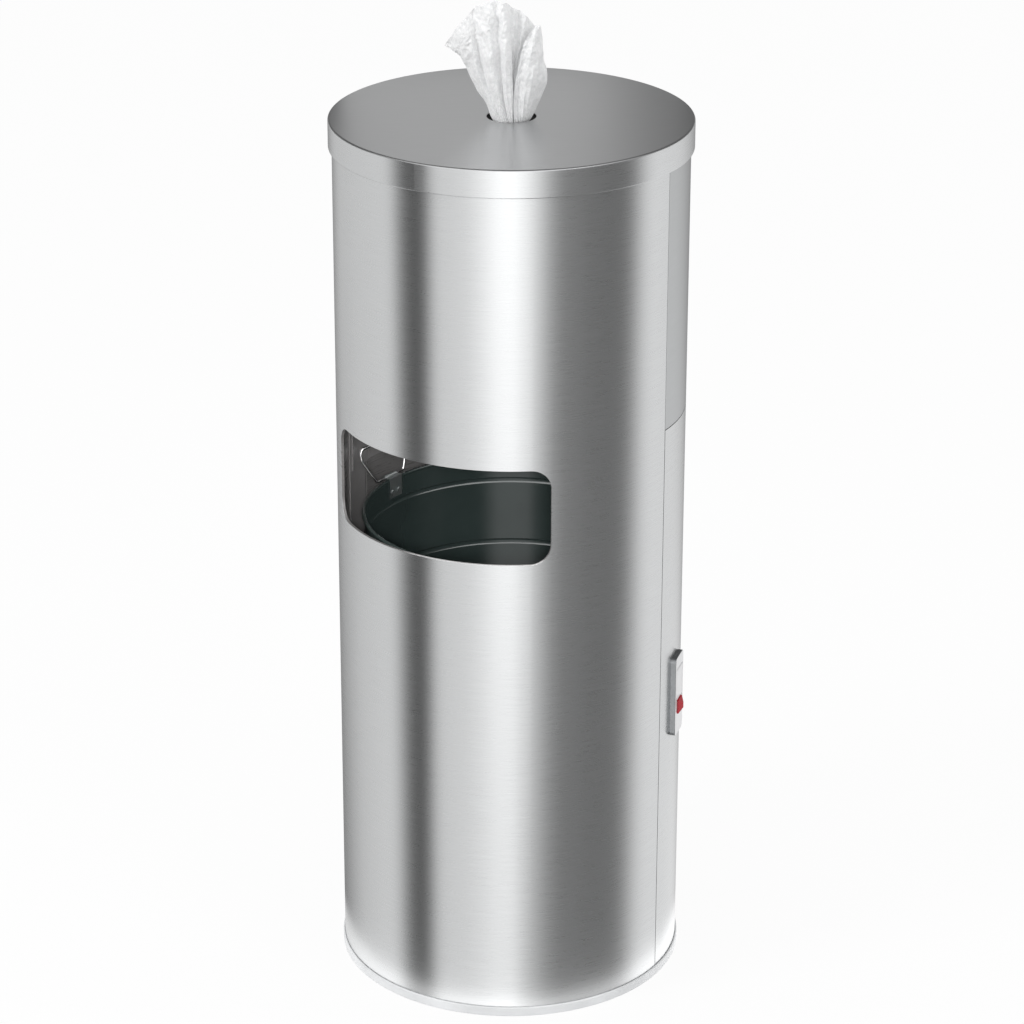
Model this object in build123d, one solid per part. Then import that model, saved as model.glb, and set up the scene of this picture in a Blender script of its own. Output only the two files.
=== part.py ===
from build123d import *
import math
import os

os.makedirs("parts", exist_ok=True)

# All sizes are in millimetres. Z is up from the floor, the disposal opening faces -Y, and angles
# are measured round the axis from the middle of the opening, positive towards +X.

# Cabinet sheet work.
body_r = 172.5
sheet = 1.0
body_in = body_r - sheet
run_gap = 0.3
seat = 0.15
seam_deg = 0.3
door_bottom_z = 10.6
door_top_z = 598.0
seam_z = 599.0

# Base.
ring_r = body_r + 1.8
ring_h = 9.8
ring_inner_r = body_r - 22.5
groove_floor_z = 3.0
groove_gap = 0.2
ledge_z = 9.0
plate_t = 1.0
plate_flange_h = 14.0

# Lid.
lid_top_z = 886.8
lid_r = body_r + 3.5
lid_t = 0.8
lid_edge_r = 1.8
skirt_z = 859.4
skirt_hem_h = 7.0
lid_hole_r = 24.0
lid_travel = 250.0

# Hoop under the lid.
hoop_h = 20.0
hoop_in_r = body_r - 12.5
hoop_t = 1.2

# Disposal opening.
opening_w = 262.5
opening_deg = math.degrees(opening_w / 2 / body_r)
opening_z0 = 492.5
opening_z1 = 589.5
opening_corner = 20.0
hem_w = 6.0
hem_t = 1.6

# Door frame strips.
jamb_t = 1.2
jamb_gap = 0.6
jamb_in_w = 21.1
jamb_out_w = 16.5
jamb_in_deg = 90 - math.degrees(jamb_in_w / body_r)
jamb_out_deg = 90 + math.degrees(jamb_out_w / body_r)
jamb_z0 = 12.0
jamb_z1 = 590.0

# Shelf and roll of wipes.
shelf_z = 610.0
shelf_t = 1.2
shelf_flange_z = 592.0
spigot_r = 20.0
spigot_h = 10.0
roll_r = 100.0
roll_core_r = 22.0
roll_h = 200.0

# Door hinges.
hinge_zs = (90.0, 305.0, 520.0)
knuckle_r = 3.0
pin_r = 1.5
pin_fit = 0.05
knuckle_h = 14.0
knuckle_gap = 0.3
pin_head_t = 1.2
leaf_t = 1.2
leaf_deg = 10.0

# Latch.
latch_offset = 40.95
latch_deg = 90 + math.degrees(latch_offset / body_r)
latch_z = 302.0
bezel_w = 29.0
bezel_h = 86.0
bezel_proud = 4.8
bezel_corner = 5.0
bezel_wall = 1.5
bezel_face_t = 1.2
tray_w = 24.4
tray_h = 80.0
tray_wall = 1.2
tray_depth = 12.0
paddle_w = 20.4
paddle_y0 = -5.0
paddle_y1 = 30.0
paddle_t = 3.2
paddle_hub_r = 2.5
paddle_pin_r = 1.0
paddle_open_deg = 40.0
button_w = 14.0
button_y0 = -20.0
button_proud = 4.6
button_travel = 3.0
stem_r = 3.0
hook_t = 3.0
hook_arm = 31.0
hook_half_w = 3.0
hook_hub_r = 7.0
hook_rest_deg = 38.0
hook_pin_r = 2.0

# Bin.
bin_yaw = -5.0
bin_r = body_r - 26.3
bin_t = 0.8
bin_foot_z = ledge_z + plate_t
bin_floor_z = bin_foot_z + 6.0
rim_z = 478.2
rim_r = bin_r + 0.7
rim_tube = 2.0
bead_zs = (384.0, 453.0)
bead_h = 6.0
bead_out = 1.3

# Bin lifting loops.
loop_r = bin_r + 5.8
loop_z = 480.0
wire_r = 1.5
loop_foot = 22.0
loop_half_w = 37.0
loop_flare_h = 26.0
loop_h = 38.0
loop_corner = 5.0
loop_lean = 15.0
strap_w = 20.0
strap_t = 0.8
flap_z = 459.0

# Pull-out nozzle.
nozzle_t = 1.2
nozzle_flange_r = 40.0
nozzle_flange_t = 2.0
nozzle_tip_r = 6.4
nozzle_h = 24.8
nozzle_tip_z = lid_top_z - nozzle_h
stud_circle_r = 33.0
stud_r = 1.5
nut_flats = 5.5
nut_h = 2.5


def radial(deg):
    a = math.radians(deg)
    return Vector(math.sin(a), -math.cos(a), 0)


def tangent(deg):
    a = math.radians(deg)
    return Vector(math.cos(a), math.sin(a), 0)


def turned(deg, z=0.0):
    return Plane(origin=(0, 0, z), x_dir=radial(deg), z_dir=(0, 0, 1))


def upright(deg):
    return Plane(origin=(0, 0, 0), x_dir=radial(deg), z_dir=radial(deg).cross(Vector(0, 0, 1)))


def strip(r0, r1, deg0, deg1, z0, z1):
    outer = Solid.make_cylinder(r1, z1 - z0, turned(deg0, z0), deg1 - deg0)
    inner = Solid.make_cylinder(r0, z1 - z0 + 2, Plane((0, 0, z0 - 1)))
    return outer - inner


def spun(points, deg0=0.0, deg1=360.0):
    face = upright(deg0) * make_face(Polyline(*points, close=True))
    return revolve(face, Axis.Z, deg1 - deg0)


def rod(r, z0, z1, x=0.0, y=0.0):
    return Pos(x, y, z0) * Cylinder(r, z1 - z0, align=(Align.CENTER, Align.CENTER, Align.MIN))


def block(x0, x1, y0, y1, z0, z1):
    return Pos(x0, y0, z0) * Box(x1 - x0, y1 - y0, z1 - z0, align=Align.MIN)


def save(shape, node):
    export_step(shape, "parts/" + node + ".step")


# Moulded base ring: solid foot with a groove that takes the bottom edge of the front shell.
groove_in = body_in - groove_gap
groove_out = body_r + groove_gap
base_ring = spun(
    [
        (ring_inner_r, 0),
        (ring_r - 0.6, 0),
        (ring_r, 0.6),
        (ring_r, ring_h - 1.0),
        (ring_r - 0.8, ring_h),
        (groove_out, ring_h),
        (groove_out, groove_floor_z),
        (groove_in, groove_floor_z),
        (groove_in, ledge_z),
        (ring_inner_r, ledge_z),
    ]
)
save(base_ring, "base_ring")

# Dished steel floor inside the base, with an upturned flange round its edge.
flange_out = body_in - run_gap
flange_in = flange_out - plate_t
base_plate = spun(
    [
        (0, ledge_z),
        (flange_out - 2, ledge_z),
        (flange_out, ledge_z + 2),
        (flange_out, bin_foot_z + plate_flange_h),
        (flange_in, bin_foot_z + plate_flange_h),
        (flange_in, ledge_z + 2.4),
        (flange_in - 1.4, bin_foot_z),
        (0, bin_foot_z),
    ]
)
save(base_plate, "base_plate")

# Hinge axis: on the outer surface of the cabinet, on the seam opposite the latch.
hinge_x = -body_r


def knuckle_notch(z):
    half = knuckle_h * 1.5 + pin_head_t + run_gap
    return rod(knuckle_r + run_gap, z - half, z + half, hinge_x, 0)


# Front half of the cylinder, with a hemmed disposal opening.
opening = strip(body_in - 12, body_r + 12, -opening_deg, opening_deg, opening_z0, opening_z1)


def across_corner(edge):
    mid = edge.center()
    return abs(edge.tangent_at(0.5).Z) < 0.01 and edge.geom_type == GeomType.LINE and mid.length > 0


opening = fillet(opening.edges().filter_by(across_corner), opening_corner)
hem_deg = math.degrees(hem_w / body_in)
hem = strip(
    body_in - 12,
    body_r + 12,
    -opening_deg - hem_deg,
    opening_deg + hem_deg,
    opening_z0 - hem_w,
    opening_z1 + hem_w,
)
hem = fillet(hem.edges().filter_by(across_corner), opening_corner + hem_w * 0.5)
hem = hem & strip(body_in - hem_t, body_in, -90, 90, opening_z0 - 2 * hem_w, opening_z1 + 2 * hem_w)
shell_top_z = lid_top_z - lid_t - 0.5
front_shell = strip(body_in, body_r, -90, 90, groove_floor_z, shell_top_z)
front_shell = front_shell + hem - opening
for z in hinge_zs:
    front_shell = front_shell - knuckle_notch(z)
save(front_shell, "front_shell")

# Fixed panel that closes the back above the door.
rear_upper_panel = strip(
    body_in, body_r, 90 + seam_deg / 2, 270 - seam_deg / 2, seam_z, shell_top_z
)
save(rear_upper_panel, "rear_upper_panel")

# Stiffening hoop inside the top edge; the lid rests on its inward flange.
lid_under_z = lid_top_z - lid_t
hoop_r = body_in - seat
top_hoop = spun(
    [
        (hoop_r, lid_under_z - hoop_h),
        (hoop_r, lid_under_z),
        (hoop_in_r, lid_under_z),
        (hoop_in_r, lid_under_z - hoop_t),
        (hoop_r - hoop_t - 1, lid_under_z - hoop_t),
        (hoop_r - hoop_t, lid_under_z - hoop_t - 1),
        (hoop_r - hoop_t, lid_under_z - hoop_h),
    ]
)
save(top_hoop, "top_hoop")

# Joggled strip inside the latch seam, and a plain strip inside the hinge seam.
jamb_step_r = body_in - jamb_gap
jamb_face_r = jamb_step_r - jamb_t
jamb_r = body_in - seat
latch_jamb = strip(jamb_r - jamb_t, jamb_r, jamb_in_deg, 89.5, jamb_z0, jamb_z1)
latch_jamb = latch_jamb + strip(jamb_face_r, jamb_step_r, 88.5, jamb_out_deg, jamb_z0, jamb_z1)
base_clear = bin_foot_z + plate_flange_h + run_gap
latch_jamb = latch_jamb - rod(body_r, 0, base_clear)
save(latch_jamb, "latch_jamb")
hinge_jamb = strip(jamb_r - jamb_t, jamb_r, -88.5, -77.0, base_clear, jamb_z1)
for z in hinge_zs:
    hinge_jamb = hinge_jamb - knuckle_notch(z)
save(hinge_jamb, "hinge_jamb")

# Shelf for the roll: disc with a down-turned flange and an upstanding ring that centres the roll.
shelf_flange_r = body_in - run_gap
shelf_top_z = shelf_z + shelf_t
wipes_shelf = spun(
    [
        (0, shelf_z),
        (shelf_flange_r - shelf_t, shelf_z),
        (shelf_flange_r - shelf_t, shelf_flange_z),
        (shelf_flange_r, shelf_flange_z),
        (shelf_flange_r, shelf_z - 2),
        (body_in - seat, shelf_z),
        (body_in - seat, shelf_top_z),
        (spigot_r, shelf_top_z),
        (spigot_r, shelf_top_z + spigot_h),
        (spigot_r - shelf_t, shelf_top_z + spigot_h),
        (spigot_r - shelf_t, shelf_top_z),
        (0, shelf_top_z),
    ]
)
hem_clear = strip(
    body_in - hem_t - run_gap - 2,
    body_in + 1,
    -opening_deg - hem_deg - 0.5,
    opening_deg + hem_deg + 0.5,
    shelf_flange_z - 1,
    opening_z1 + hem_w + run_gap,
)
wipes_shelf = wipes_shelf - hem_clear
save(wipes_shelf, "wipes_shelf")

# Centre-pull roll of wipes standing on the shelf.
roll_edge = 3.0
wipes_roll = spun(
    [
        (roll_core_r, shelf_top_z),
        (roll_r - roll_edge, shelf_top_z),
        (roll_r, shelf_top_z + roll_edge),
        (roll_r, shelf_top_z + roll_h - roll_edge),
        (roll_r - roll_edge, shelf_top_z + roll_h),
        (roll_core_r, shelf_top_z + roll_h),
    ]
)
save(wipes_roll, "wipes_roll")

# Lid: pressed disc with a deep skirt whose lower edge is folded flat inside.
skirt_in_r = lid_r - lid_t
fold_r = lid_r - 2 * lid_t
fold_z = skirt_z + lid_t
hem_top_z = skirt_z + skirt_hem_h
lid_face = make_face(
    Polyline((lid_hole_r, lid_under_z), (lid_hole_r, lid_top_z), (lid_r - lid_edge_r, lid_top_z))
    + RadiusArc((lid_r - lid_edge_r, lid_top_z), (lid_r, lid_top_z - lid_edge_r), lid_edge_r)
    + Line((lid_r, lid_top_z - lid_edge_r), (lid_r, fold_z))
    + ThreePointArc((lid_r, fold_z), (skirt_in_r, skirt_z), (fold_r, fold_z))
    + Polyline(
        (fold_r, fold_z),
        (fold_r, hem_top_z),
        (skirt_in_r, hem_top_z + lid_t),
        (skirt_in_r, lid_under_z - 1),
        (skirt_in_r - 1, lid_under_z),
        (lid_hole_r, lid_under_z),
    )
)
lid = revolve(upright(0) * lid_face, Axis.Z, 360)
save(lid, "lid")

# Black moulded nozzle under the lid hole: flange and funnel with slits that grip the wipe.
nozzle_mouth_r = lid_hole_r + 0.3
flange_under_z = lid_under_z - nozzle_flange_t
nozzle = spun(
    [
        (nozzle_mouth_r, lid_under_z),
        (nozzle_flange_r, lid_under_z),
        (nozzle_flange_r, flange_under_z),
        (nozzle_mouth_r + nozzle_t, flange_under_z),
        (nozzle_tip_r + nozzle_t, nozzle_tip_z),
        (nozzle_tip_r, nozzle_tip_z),
        (nozzle_mouth_r, flange_under_z),
    ]
)
for i in range(6):
    slit = block(4, 18, -0.6, 0.6, nozzle_tip_z - 1, nozzle_tip_z + 11)
    nozzle = nozzle - Rot(0, 0, 60 * i) * slit
for i in range(3):
    at = radial(60 + 120 * i) * stud_circle_r
    hole = rod(stud_r + 0.2, flange_under_z - 1, lid_under_z + 1, at.X, at.Y)
    nozzle = nozzle - hole
    stud = rod(stud_r, lid_under_z - 8, lid_under_z, at.X, at.Y)
    save(stud, "nozzle_stud_" + str(i + 1))
    nut_outline = RegularPolygon(nut_flats / 2, 6, major_radius=False)
    nut = Pos(at.X, at.Y, flange_under_z - nut_h) * extrude(nut_outline, nut_h)
    nut = nut - rod(stud_r, flange_under_z - nut_h - 1, flange_under_z + 1, at.X, at.Y)
    save(nut, "nozzle_nut_" + str(i + 1))
save(nozzle, "nozzle")

# Pulled-up wipe: two fans of vertical folds rising from one neck in the nozzle.
wipe_facing = 30.6
wipe_rise = 118.0
wipe_reach = 64.0
wipe_t = 3.0
wipe_end_z = nozzle_tip_z + 0.8
wipe_plane = Plane(
    origin=(0, 0, lid_top_z), x_dir=tangent(wipe_facing), z_dir=(0, 0, 1)
)
fold_left = (0.5, -1.0, 0.8, -0.9, 1.0, -0.8, 0.9, -1.0, 0.6)
fold_right = (-0.6, 1.0, -0.8, 0.9, -1.0, 0.9, -0.7, 0.8, -0.5)


def cloth(sections, folds):
    outlines = []
    for height, left, right, depth, centre, thick in sections:
        h = height * wipe_rise
        middle = centre * wipe_reach
        half = thick * wipe_t / 2
        front = []
        back = []
        for i, f in enumerate(folds):
            x = (left + (right - left) * i / (len(folds) - 1)) * wipe_reach
            y = middle + depth * f * wipe_reach
            front.append((x, y - half, h))
            back.append((x, y + half, h))
        outline = Wire.make_polygon([Vector(*p) for p in front + back[::-1]], close=True)
        outlines.append(outline)
    return Solid.make_loft(outlines, ruled=True)


# Each section: height, left end, right end, fold depth and middle as shares, then thickness.
throat = (wipe_end_z - lid_top_z) / wipe_rise
left_fan = cloth(
    [
        (throat, -0.086, 0.031, 0.034, 0, 1.0),
        (0, -0.258, 0.047, 0.078, -0.016, 1.07),
        (0.212, -0.516, 0.031, 0.094, -0.031, 0.87),
        (0.381, -0.656, 0.094, 0.094, -0.031, 0.73),
        (0.619, -1.0, 0.203, 0.094, -0.047, 0.6),
        (0.788, -0.828, 0.305, 0.078, -0.062, 0.53),
        (0.949, -0.562, 0, 0.062, -0.062, 0.5),
        (1.0, -0.375, -0.156, 0.038, -0.062, 0.47),
    ],
    fold_left,
)
right_fan = cloth(
    [
        (throat, -0.031, 0.086, 0.034, 0, 1.0),
        (0, -0.047, 0.266, 0.078, 0.016, 1.07),
        (0.212, 0.031, 0.484, 0.094, 0.047, 0.87),
        (0.381, 0.125, 0.553, 0.094, 0.062, 0.73),
        (0.542, 0.203, 0.492, 0.078, 0.062, 0.6),
        (0.788, 0.391, 0.453, 0.031, 0.062, 0.5),
    ],
    fold_right,
)
wipe = wipe_plane * (left_fan + right_fan)
save(wipe, "wipe")

# Twisted run of wipes from the nozzle down into the core of the roll.
tail_r = 6.0
tail_top_z = wipe_end_z
tail_bottom_z = shelf_top_z + roll_h / 2
tail_steps = 14
tail_wires = []
for i in range(tail_steps + 1):
    z = tail_top_z + (tail_bottom_z - tail_top_z) * i / tail_steps
    half = tail_r * (1.0 if i % 2 == 0 else 0.86)
    points = []
    for k in range(8):
        a = math.radians(45 * k + 22.5 * i)
        swell = half if k % 2 == 0 else half * 0.72
        points.append(Vector(swell * math.cos(a), swell * math.sin(a), z))
    tail_wires.append(Wire.make_polygon(points, close=True))
wipe_tail = Solid.make_loft(tail_wires, ruled=True)
save(wipe_tail, "wipe_tail")

# Three butt hinges: a fixed leaf, a door leaf and a headed pin each.
fixed_leaf_r = jamb_r - jamb_t - seat
door_leaf_r = body_in - seat
for i, z in enumerate(hinge_zs):
    low = z - knuckle_h * 1.5
    high = z + knuckle_h * 1.5
    fixed = strip(fixed_leaf_r - leaf_t, fixed_leaf_r, -88.6, -88.6 + leaf_deg, low, high)
    for z0, z1 in ((low, low + knuckle_h - knuckle_gap), (high - knuckle_h + knuckle_gap, high)):
        fixed = fixed + strip(fixed_leaf_r - leaf_t, fixed_leaf_r, -90.3, -88.0, z0, z1)
        fixed = fixed + rod(knuckle_r, z0, z1, hinge_x, 0)
    fixed = fixed - rod(pin_r + pin_fit, low - 1, high + 1, hinge_x, 0)
    save(fixed, "hinge_" + str(i + 1) + "_fixed_leaf")
    mid0 = low + knuckle_h
    mid1 = high - knuckle_h
    leaf = strip(door_leaf_r - leaf_t, door_leaf_r, 270 - 1.4 - leaf_deg, 270 - 1.4, low, high)
    leaf = leaf + strip(door_leaf_r - leaf_t, door_leaf_r, 268, 270, mid0, mid1)
    leaf = leaf + rod(knuckle_r, mid0, mid1, hinge_x, 0)
    leaf = leaf - rod(pin_r + pin_fit, low - 1, high + 1, hinge_x, 0)
    save(leaf, "hinge_" + str(i + 1) + "_door_leaf")
    pin = rod(pin_r, low - pin_head_t, high + pin_head_t, hinge_x, 0)
    pin = pin + rod(knuckle_r - 0.4, high, high + pin_head_t, hinge_x, 0)
    pin = pin + rod(knuckle_r - 0.4, low - pin_head_t, low, hinge_x, 0)
    save(pin, "hinge_" + str(i + 1) + "_pin")

# Door: curved back panel with a cut-out for the latch tray.
latch_plane = Plane(
    origin=radial(latch_deg) * body_r + Vector(0, 0, latch_z),
    x_dir=tangent(latch_deg),
    z_dir=radial(latch_deg),
)
door_panel = strip(body_in, body_r, 90 + seam_deg, 270 - seam_deg, door_bottom_z, door_top_z)
cut_w = tray_w + 2 * run_gap
cut_h = tray_h + 2 * run_gap
cut_out = block(-cut_w / 2, cut_w / 2, -cut_h / 2, cut_h / 2, -tray_depth, 4)
door_panel = door_panel - latch_plane * cut_out
for z in hinge_zs:
    door_panel = door_panel - knuckle_notch(z)
save(door_panel, "door_panel")

# Two curved hat-section stiffeners on the inside of the door.
rib_depth = 5.5
rib_t = 0.8
rib_half = 14.0
for name, z in (("door_rib_lower", 150.0), ("door_rib_upper", 440.0)):
    foot = body_in - seat
    crown = foot - rib_depth
    rib = spun(
        [
            (foot, z - rib_half),
            (foot, z - rib_half + 6.0),
            (crown + rib_t, z - rib_half + 8.5),
            (crown + rib_t, z + rib_half - 8.5),
            (foot, z + rib_half - 6.0),
            (foot, z + rib_half),
            (foot - rib_t, z + rib_half),
            (foot - rib_t, z + rib_half - 5.2),
            (crown, z + rib_half - 8.0),
            (crown, z - rib_half + 8.0),
            (foot - rib_t, z - rib_half + 5.2),
            (foot - rib_t, z - rib_half),
        ],
        99.0,
        255.0,
    )
    save(rib, name)

# Latch bezel: cast frame, hollow behind, its back edge shaped to the curve of the door.
bezel = extrude(RectangleRounded(bezel_w, bezel_h, bezel_corner), bezel_proud + 1.2)
bezel = Pos(0, 0, -1.2) * bezel
bezel = fillet(bezel.faces().sort_by(Axis.Z)[-1].edges(), 0.9)
back_w = bezel_w - 2 * bezel_wall
back_h = bezel_h - 2 * bezel_wall
face_under = bezel_proud - bezel_face_t
hollow = extrude(RectangleRounded(back_w, back_h, bezel_corner - bezel_wall), face_under + 1.2)
bezel = bezel - Pos(0, 0, -1.2) * hollow
window_w = paddle_w / 2 + run_gap
shoulder_y = paddle_y0 - run_gap
paddle_window = block(-window_w, window_w, shoulder_y, paddle_y1 + run_gap, -2, bezel_proud + 2)
button_half = button_w / 2
button_window_w = button_half + run_gap
button_window = block(
    -button_window_w,
    button_window_w,
    button_y0 - run_gap,
    shoulder_y + 0.1,
    -2,
    bezel_proud + 2,
)
bezel = bezel - paddle_window - button_window
bezel = latch_plane * bezel - rod(body_r, latch_z - 60, latch_z + 60)
save(bezel, "latch_bezel")

# Tray behind the bezel, passing through the door.
tray = block(-tray_w / 2, tray_w / 2, -tray_h / 2, tray_h / 2, -tray_depth, face_under)
tray_in_w = tray_w / 2 - tray_wall
tray_in_h = tray_h / 2 - tray_wall
tray = tray - block(
    -tray_in_w, tray_in_w, -tray_in_h, tray_in_h, -tray_depth + tray_wall, face_under + 1
)
paddle_axis_y = paddle_y1 - paddle_hub_r
paddle_axis_z = bezel_proud - paddle_hub_r
pin_hole = Rot(0, 90, 0) * Cylinder(paddle_pin_r, tray_w + 2)
tray = tray - Pos(0, paddle_axis_y, paddle_axis_z) * pin_hole
tray = tray - rod(hook_pin_r, -tray_depth - 1, -tray_depth + tray_wall + 1)
save(latch_plane * tray, "latch_tray")

paddle_pin = Rot(0, 90, 0) * Cylinder(paddle_pin_r, tray_w)
paddle_pin = Pos(0, paddle_axis_y, paddle_axis_z) * paddle_pin
save(latch_plane * paddle_pin, "paddle_pin")

# Paddle: flat grip plate that swings out at its lower end about the pin at its top.
plate_back = bezel_proud - paddle_t
side = Plane.YZ
paddle_side = make_face(
    Polyline(
        (paddle_axis_y, bezel_proud),
        (paddle_y0 + 0.6, bezel_proud),
        (paddle_y0, bezel_proud - 0.6),
        (paddle_y0, plate_back),
        (paddle_axis_y, plate_back),
        close=True,
    )
)
paddle = side * extrude(paddle_side, paddle_w / 2, both=True)
hub = Rot(0, 90, 0) * Cylinder(paddle_hub_r, paddle_w)
paddle = paddle + Pos(0, paddle_axis_y, paddle_axis_z) * hub
bore = Rot(0, 90, 0) * Cylinder(paddle_pin_r + pin_fit, paddle_w + 2)
paddle = paddle - Pos(0, paddle_axis_y, paddle_axis_z) * bore
save(latch_plane * paddle, "latch_paddle")

# Push button: hip-roofed cap on a stem that runs into the tray.
button_top_y = shoulder_y
button_len = button_top_y - button_y0
button_mid_y = (button_top_y + button_y0) / 2
cap_low = 0.5
cap_eave = bezel_proud + 1.2
cap_peak = bezel_proud + button_proud
cap = block(-button_half, button_half, button_y0, button_top_y, cap_low, cap_eave)
ridge = 0.3
roof = Solid.make_loft(
    [
        Wire.make_polygon(
            [
                Vector(-button_half, button_y0, cap_eave),
                Vector(button_half, button_y0, cap_eave),
                Vector(button_half, button_top_y, cap_eave),
                Vector(-button_half, button_top_y, cap_eave),
            ],
            close=True,
        ),
        Wire.make_polygon(
            [
                Vector(-ridge, button_y0 + 4.5, cap_peak),
                Vector(ridge, button_y0 + 4.5, cap_peak),
                Vector(ridge, button_top_y - 4.5, cap_peak),
                Vector(-ridge, button_top_y - 4.5, cap_peak),
            ],
            close=True,
        ),
    ],
    ruled=True,
)
stem_end = -tray_depth + tray_wall + button_travel + run_gap
button = cap + roof + rod(stem_r, stem_end, cap_low, 0, button_mid_y)
save(latch_plane * button, "push_button")

# Hook on a headed pin behind the tray; it turns through the slot of the strike plate.
hook_front = -tray_depth - 1.0
hook_back = hook_front - hook_t
pin_head = 1.0
hook_pin = rod(hook_pin_r, hook_back - run_gap - pin_head, -tray_depth + tray_wall)
hook_pin = hook_pin + rod(hook_pin_r + 1.4, hook_back - run_gap - pin_head, hook_back - run_gap)
hook_pin = hook_pin + rod(hook_pin_r + 1.0, -tray_depth + tray_wall, -tray_depth + tray_wall + 1.2)
save(latch_plane * hook_pin, "hook_pin")
arm = block(-hook_arm, 0, -hook_half_w, hook_half_w, hook_back, hook_front)
arm = arm + rod(hook_half_w, hook_back, hook_front, -hook_arm, 0)
arm = Rot(0, 0, -hook_rest_deg) * arm
hook = arm + rod(hook_hub_r, hook_back, hook_front)
hook = hook - rod(hook_pin_r + pin_fit, hook_back - 1, hook_front + 1)
save(latch_plane * hook, "latch_hook")

# Strike plate: foot on the joggled strip and an inward lip with a slot for the hook.
lip_t = 1.4
slot_gap = 2.0
hook_mid_r = body_r + (hook_front + hook_back) / 2
lip_deg_end = latch_deg - math.degrees(math.atan((hook_arm - 0.9) / hook_mid_r))
lip_deg = lip_deg_end - math.degrees(lip_t / hook_mid_r)
slot_in_r = math.hypot(body_r + hook_back, hook_arm) - slot_gap
slot_out_r = math.hypot(body_r + hook_front, hook_arm) + slot_gap
lip_in_r = slot_in_r - 5.4
strike_z0 = latch_z - 22
strike_z1 = latch_z + 26
strike = strip(jamb_face_r - 1.2, jamb_face_r, 88.0, lip_deg_end, strike_z0, strike_z1)
strike = strike + strip(lip_in_r, jamb_face_r, lip_deg, lip_deg_end, strike_z0, strike_z1)
slot = strip(slot_in_r, slot_out_r, lip_deg - 0.5, lip_deg_end + 0.5, latch_z - 8, latch_z + 21)
strike = strike - slot
save(strike, "strike_plate")

# Inner bin: thin wall with two beads and a rolled rim.
bin_in = bin_r - bin_t
bead_half = bead_h / 2
outer_line = Line((bin_r, bin_foot_z), (bin_r, bead_zs[0] - bead_half))
inner_line = Line((bin_in, bin_foot_z), (bin_in, bead_zs[0] - bead_half))
for i, z in enumerate(bead_zs):
    above = bead_zs[i + 1] - bead_half if i + 1 < len(bead_zs) else rim_z
    for r in (bin_r, bin_in):
        bead = ThreePointArc((r, z - bead_half), (r + bead_out, z), (r, z + bead_half))
        run = Line((r, z + bead_half), (r, above))
        if r == bin_r:
            outer_line = outer_line + bead + run
        else:
            inner_line = inner_line + bead + run
wall_face = make_face(
    outer_line
    + inner_line
    + Line((bin_r, rim_z), (bin_in, rim_z))
    + Line((bin_r, bin_foot_z), (bin_in, bin_foot_z))
)
bin_wall = revolve(upright(bin_yaw) * wall_face, Axis.Z, 360)
rim = Pos(0, 0, rim_z) * Torus(rim_r, rim_tube)
bin_wall = bin_wall + rim

bin_bottom = spun(
    [
        (0, bin_floor_z),
        (bin_in - 1.5, bin_floor_z),
        (bin_in - bin_t, bin_floor_z - 1.5),
        (bin_in - bin_t, bin_foot_z + 0.6),
        (bin_in, bin_foot_z + 0.6),
        (bin_in, bin_floor_z + 0.4),
        (bin_in - 0.8, bin_floor_z + bin_t),
        (0, bin_floor_z + bin_t),
    ]
)
save(bin_bottom, "bin_bottom")

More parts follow.
